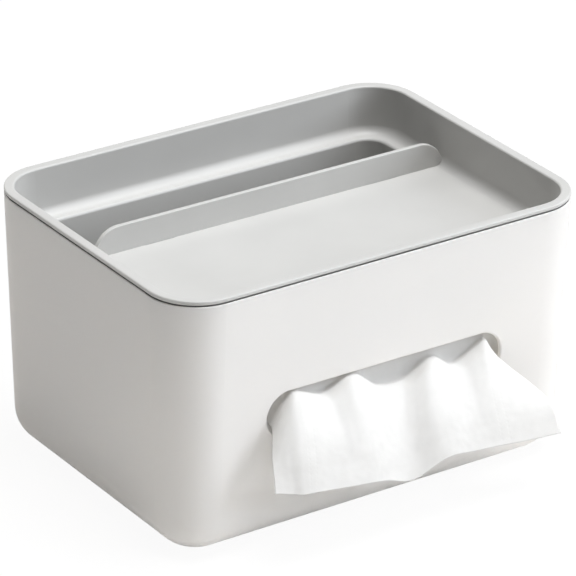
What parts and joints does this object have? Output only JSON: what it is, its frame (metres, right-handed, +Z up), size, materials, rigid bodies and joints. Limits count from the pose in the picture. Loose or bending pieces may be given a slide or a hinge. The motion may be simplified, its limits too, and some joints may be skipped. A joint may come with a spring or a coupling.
{
  "type": "tissue box organizer",
  "caption": "Desk tissue box with a rounded front slot and a lift-out organizer tray on top: shallow basin, low divider plate and deep rear pocket for small things.",
  "frame": {"origin": "on the surface that the box stands on, under the middle of the box", "axes": "+X along the box's width to the right as seen from its front, -Y out of the front face with the slot, +Z up"},
  "size_m": [0.2, 0.1697, 0.1174],
  "materials": {
    "white_plastic": "fine matte moulded",
    "grey_plastic": "satin moulded",
    "tissue": "soft paper tissue",
    "rubber": "soft anti-slip"
  },
  "bodies": {
    "box": {"outer_box": "white_plastic", "tissue_stack": "tissue", "pulled_tissue": "tissue", "foot_pad_front_left": "rubber", "foot_pad_front_right": "rubber", "foot_pad_back_left": "rubber", "foot_pad_back_right": "rubber"},
    "tray": {"organizer_tray": "grey_plastic"},
    "divider": {"divider": "grey_plastic"}
  },
  "joints": [
    {"name": "tray_lift", "type": "slide", "parent": "box", "child": "tray", "axis": [0, 0, 1], "range_m": [0, 0.11]},
    {"name": "divider_lift", "type": "slide", "parent": "tray", "child": "divider", "axis": [0, 0, 1], "range_m": [0, 0.03]}
  ]
}
